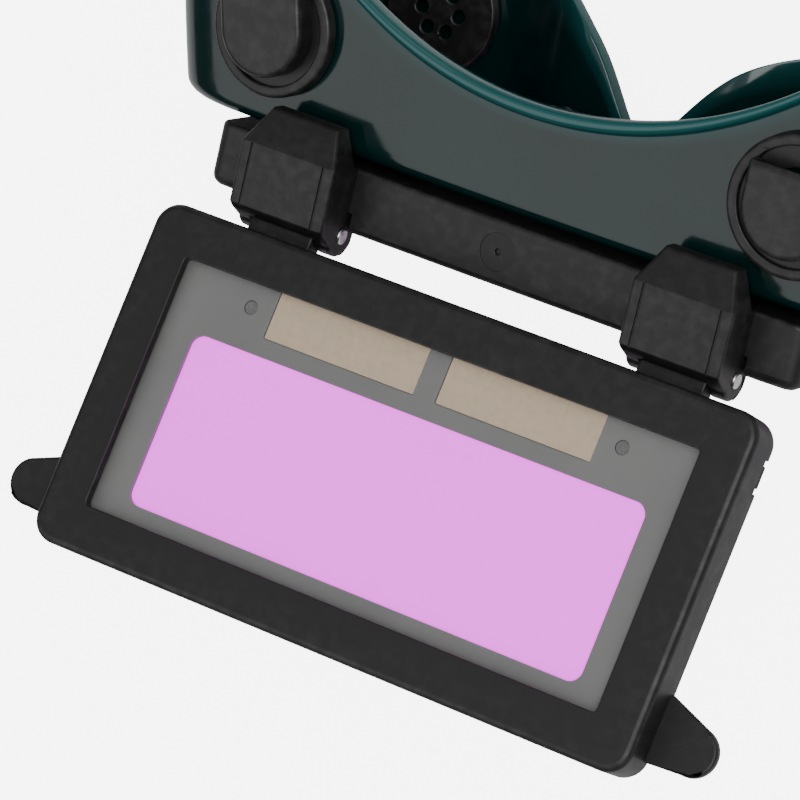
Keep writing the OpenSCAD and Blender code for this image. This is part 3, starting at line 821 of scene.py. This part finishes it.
def add_housings():
    """The hinge housings: crisp at the pin, at the seams and low down, and rounded elsewhere."""
    for side in ("left", "right"):
        node = f"hinge_housing_{side}"
        low, high = box_mm(node)

        def rule(middle, direction, low=low, high=high):
            near_pin = math.hypot(middle.y - PIN.y, middle.z - PIN.z) < 1.7
            if near_pin or middle.z < high.z - 8.6:
                return 0.15
            inside = low.x + 2.7 < middle.x < high.x - 2.7
            if inside and abs(direction.x) < 0.5:
                return 0.12 if middle.z > high.z - 0.5 else 0.15
            return 0.7

        softened(node, f"housing_{side}", FRAME_BLACK, rule, "mask", 4)


def add_flip_frame():
    """The filter frame. Its edges are told apart by where they lie when it is closed."""
    node = "flip_frame"
    co = [TO_CLOSED @ (v.co / MM - PIN) + PIN for v in frame["nodes"][node].data.vertices]
    front = min(p.y for p in co)
    lens_low, lens_high = box_mm("cover_lens")
    window_z = (lens_low.z + lens_high.z) / 2
    tabs_from, rim_from_x, rim_from_z, knuckles_from = 61.2, 55.5, 27, 32.4
    front_to, back_from = 0.3, 8.7

    def rule(middle, direction):
        closed = TO_CLOSED @ (middle - PIN) + PIN
        depth, up, across = closed.y - front, closed.z - window_z, abs(closed.x)
        if across > tabs_from:
            return 0.55
        rim = across > rim_from_x or abs(up) > rim_from_z
        if up > knuckles_from:
            return 0.3
        if rim and depth < front_to:
            return 1.2
        if rim and depth > back_from:
            return 0.6
        return 0.2

    softened(node, "filter_frame", FRAME_BLACK, rule, "flip", 4)


def add_vents():
    """Caps and inner discs. An edge's rounding goes by its height over the mask and its radius."""
    hood_top, flange_top, dish_floor = 5.8, 2.4, 2.0
    flange_rim, dish_rim = 12, 9.8
    for place in ("top_left", "top_right", "bottom_left", "bottom_right"):
        cap = f"vent_cap_{place}"
        joint = next(j for j in frame["joints"] if j["name"] == f"vent_{place}_turn")
        seat = Vector(joint["pos_m"]) / MM
        axis = Vector(joint["axis"])

        def rule(middle, direction, seat=seat, axis=axis):
            height = (middle - seat).dot(axis)
            radius = ((middle - seat) - axis * height).length
            if height > hood_top:
                return 1.1
            if height > flange_top and radius > flange_rim:
                return 0.8
            if height > flange_top and radius > dish_rim:
                return 0.35
            if height > dish_floor:
                return 0.5
            return 0.2

        softened(cap, f"vent_hood_{place}", VENT_BLACK, rule, f"vent_{place}", 4)
        softened(f"vent_retainer_{place}", f"vent_disc_{place}", VENT_BLACK,
            lambda middle, direction: 0.3, f"vent_{place}", 2)


def add_small_parts():
    """Pins, band lugs and their rivets, the slider and the ring that holds the cartridge."""
    for side in ("left", "right"):
        softened(f"hinge_pin_{side}", f"pin_{side}", PIN_STEEL,
            lambda middle, direction: 0.3, "mask", 3)
        softened(f"strap_lug_{side}", f"lug_{side}", FRAME_BLACK,
            lambda middle, direction: 0.5, "mask", 3)
        softened(f"lug_rivet_{side}", f"rivet_{side}", RIVET_STEEL,
            lambda middle, direction: 0.4, "mask", 3)
    softened("strap_adjuster", "band_slider", FRAME_BLACK,
        lambda middle, direction: 0.45, "adjuster", 3)
    softened("filter_retainer", "retainer_ring", FRAME_BLACK,
        lambda middle, direction: 0.2, "flip", 2, framed=True)


def add_plates():
    """Clear plates, the cartridge's face and what lies in it: flat sheets with crisp edges."""
    plates = {
        "cover_lens": ("clear_lens", "lens_clear", CLEAR_LENS, "mask"),
        "lens_gasket": ("gasket", "gasket_rubber", RUBBER, "mask"),
        "lens_retainer": ("lens_ring", "frame_black", FRAME_BLACK, "mask"),
        "front_cover_plate": ("front_cover", "cover_clear", CLEAR_COVER, "flip"),
        "rear_cover_plate": ("rear_cover", "cover_clear", CLEAR_COVER, "flip"),
        "filter_bezel": ("cartridge_face", "bezel_grey", GREY_BEZEL, "flip"),
        "filter_tray": ("cartridge_tray", "frame_black", FRAME_BLACK, "flip"),
        "lcd_filter": ("violet_glass", "filter_glass", VIOLET, "flip"),
        "solar_cell_left": ("cell_left", "solar_cell", SOLAR, "flip"),
        "solar_cell_right": ("cell_right", "solar_cell", SOLAR, "flip"),
        "light_sensors": ("sensor_eyes", "sensor_dark", SENSOR, "flip"),
        "circuit_board": ("board", "board_green", BOARD, "flip"),
        "backup_cells": ("coin_cells", "rivet_steel", RIVET_STEEL, "flip")}
    for node, (name, slot, material, body) in plates.items():
        mesh = frame["nodes"][node].data.copy()
        bm = bmesh.new()
        bm.from_mesh(mesh)
        bmesh.ops.remove_doubles(bm, verts=bm.verts[:], dist=SAME_POINT * MM)
        bm.normal_update()
        for vert in bm.verts:
            vert.co -= vert.normal * PLATE_INSET * MM
        bm.to_mesh(mesh)
        bm.free()
        if "custom_normal" in mesh.attributes:
            mesh.attributes.remove(mesh.attributes["custom_normal"])
        mesh.name = name
        shade(mesh, 30)
        add_piece(name, mesh, body, material, [node])


# ---------------------------------------------------------------- headband

BAND_W = 25
BAND_T = 1.6
# The lug's seat on the mask's side wall, and the wall's slope there
LUG_Y = 48
LUG_Z = 36
LUG_TURN = math.radians(11.8)
# Round the lug's rear bar, in the lug's own plane: (outwards, rearwards)
BAND_END = [(1.4, 36), (1.2, 24), (1.3, 18), (2.2, 16.2), (3.8, 15.7), (5.6, 16.2), (6.5, 18),
    (6.3, 24), (4.6, 30), (3.3, 36)]
# Behind the mask: (x, y, height of the band's middle)
BAND_LOOP = [(94, 86, 35.5), (96.5, 98, 33), (97, 110, 29.5), (95.5, 122, 26), (91.5, 134, 22.5),
    (85, 145, 19.5), (76, 154.5, 17), (65, 162, 15.6), (52, 167.5, 15), (38, 170.5, 15),
    (22, 172, 15)]


def from_lug(out, rear):
    """A place given outwards and rearwards from the lug's seat, in the lug's own plane."""
    c, s = math.cos(LUG_TURN), math.sin(LUG_TURN)
    return Vector((side_half_w(LUG_Y) + out * c + rear * s, LUG_Y - out * s + rear * c, LUG_Z))


def spline(points, step):
    """Points every step millimetres or so on a Catmull-Rom curve through the given ones."""
    out = []
    ends = [points[0] * 2 - points[1], *points, points[-1] * 2 - points[-2]]
    for p0, p1, p2, p3 in zip(ends, ends[1:], ends[2:], ends[3:]):
        count = max(1, round((p2 - p1).length / step))
        for i in range(count):
            t = i / count
            out.append(0.5 * (2 * p1 + (p2 - p0) * t + (2 * p0 - 5 * p1 + 4 * p2 - p3) * t * t
                + (3 * p1 - p0 - 3 * p2 + p3) * t ** 3))
    out.append(points[-1])
    return out


def band_line():
    """The band's middle line, from one lug's bar round the rear to the other's."""
    half = [from_lug(*p) for p in BAND_END] + [Vector(p) for p in BAND_LOOP]
    other = [Vector((-p.x, p.y, p.z)) for p in reversed(half)]
    return spline(half + other, 1.5)


def add_headband():
    """Webbing swept along its line, with edges a little thinner than its middle."""
    line = band_line()
    across_steps = 20
    section = [(-1 + 2 * i / across_steps, 1) for i in range(across_steps + 1)]
    section += [(u, -v) for u, v in reversed(section)]
    rows = []
    lengths = []
    along = 0.0
    for i, p in enumerate(line):
        ahead = line[min(i + 1, len(line) - 1)] - line[max(i - 1, 0)]
        out = Vector((ahead.y, -ahead.x, 0)).normalized()
        if i:
            along += (p - line[i - 1]).length
        lengths.append(along)
        row = []
        for u, v in section:
            half_t = BAND_T / 2 * (1 - 0.35 * smooth((abs(u) - 0.86) / 0.14))
            row.append(p + out * (v * half_t) + Vector((0, 0, u * BAND_W / 2)))
        rows.append(row)
    mesh = loop_mesh("headband_webbing", rows, False)
    uv = mesh.uv_layers.new(name="UVMap")
    count = len(section)
    for loop in mesh.loops:
        r, i = divmod(loop.vertex_index, count)
        uv.data[loop.index].uv = (lengths[r], section[i][0] * BAND_W / 2)
    shade(mesh, 50)
    add_piece("headband_webbing", mesh, "mask", WOVEN, ["headband"])


# ---------------------------------------------------------------- the CAD nodes that stay


def dress_springs():
    """The detent springs keep their CAD shape, and are steel."""
    for side in ("left", "right"):
        obj = frame["nodes"][f"detent_spring_{side}"]
        obj.data.materials.clear()
        obj.data.materials.append(PIN_STEEL)


def add_floor():
    """A plain pale floor, which isn't part of the object."""
    mesh = bpy.data.meshes.new("floor")
    reach = 3.0
    corners = [(-reach, -reach, 0), (reach, -reach, 0), (reach, reach, 0), (-reach, reach, 0)]
    mesh.from_pydata(corners, [], [(0, 1, 2, 3)])
    mesh.materials.append(floor_paper())
    floor = bpy.data.objects.new("floor", mesh)
    bpy.context.scene.collection.objects.link(floor)


add_camera()
add_lights()
add_floor()
add_mask()
add_fixed_frame()
add_housings()
add_flip_frame()
add_vents()
add_small_parts()
add_plates()
add_headband()
dress_springs()
